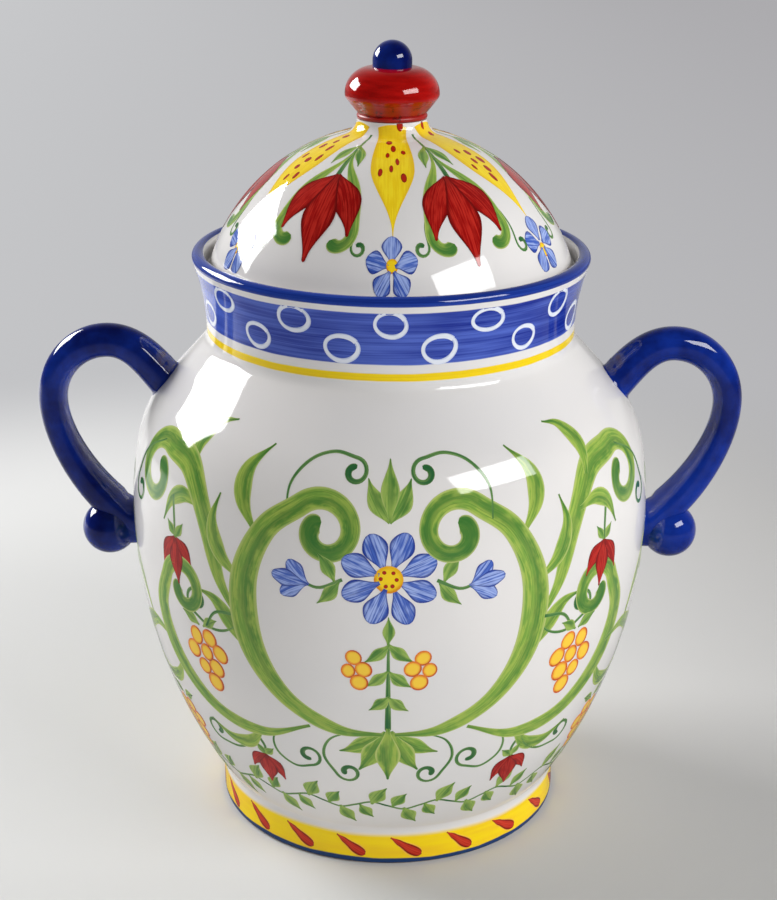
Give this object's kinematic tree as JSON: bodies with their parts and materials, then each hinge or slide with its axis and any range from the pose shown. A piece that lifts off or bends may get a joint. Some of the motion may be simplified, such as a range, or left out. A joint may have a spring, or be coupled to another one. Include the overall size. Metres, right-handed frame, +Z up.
{
  "type": "biscuit jar",
  "caption": "Large round-bellied glazed ceramic jar with a flared neck, loop handles with ball ends, and a domed lift-off lid with a turned knob.",
  "frame": {"origin": "centre of the foot ring, on the table", "axes": "+Z up along the jar's axis; the front faces -Y; the two handles lie along -X (left) and +X (right)"},
  "size_m": [0.2972, 0.219, 0.3302],
  "materials": {
    "white_glaze": "gloss",
    "navy_glaze": "gloss",
    "red_glaze": "gloss"
  },
  "bodies": {
    "jar": {"jar_body": "white_glaze", "left_handle": "navy_glaze", "right_handle": "navy_glaze", "left_handle_ball": "navy_glaze", "right_handle_ball": "navy_glaze"},
    "lid": {"lid": "white_glaze", "lid_knob": "red_glaze", "knob_ball": "navy_glaze"}
  },
  "joints": [
    {"name": "lid_lift", "type": "slide", "parent": "jar", "child": "lid", "axis": [0, 0, 1], "range_m": [0, 0.12]}
  ]
}
